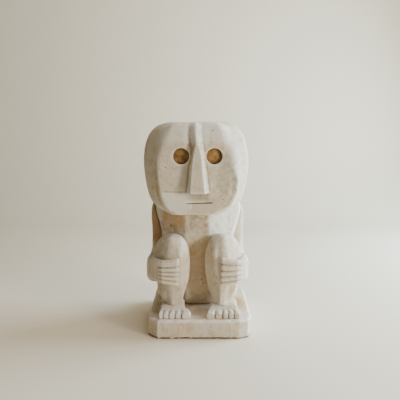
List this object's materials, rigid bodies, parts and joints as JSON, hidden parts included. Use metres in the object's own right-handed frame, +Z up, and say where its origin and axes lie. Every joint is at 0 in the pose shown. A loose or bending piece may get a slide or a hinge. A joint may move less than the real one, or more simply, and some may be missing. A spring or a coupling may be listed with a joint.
{
  "type": "tiki figure",
  "caption": "Squatting tiki figure with a broad flat face, hands on its shins and inlaid eyes, carved in pale limestone on a square plinth.",
  "frame": {"origin": "centre of the plinth's flat underside", "axes": "+Z up, the figure faces -Y, and its own left side is at +X"},
  "size_m": [0.2213, 0.21, 0.422],
  "materials": {
    "limestone": "dry hand-rubbed carving with fine grain, small pits and faint chisel marks",
    "eye_inlay": "honed brown-gold mottled disc"
  },
  "bodies": {
    "root": {"plinth": "limestone", "torso": "limestone", "head": "limestone", "left_eye_inlay": "eye_inlay", "right_eye_inlay": "eye_inlay", "left_arm": "limestone", "right_arm": "limestone", "left_hand": "limestone", "right_hand": "limestone", "left_leg": "limestone", "right_leg": "limestone", "left_foot": "limestone", "right_foot": "limestone"}
  },
  "joints": []
}
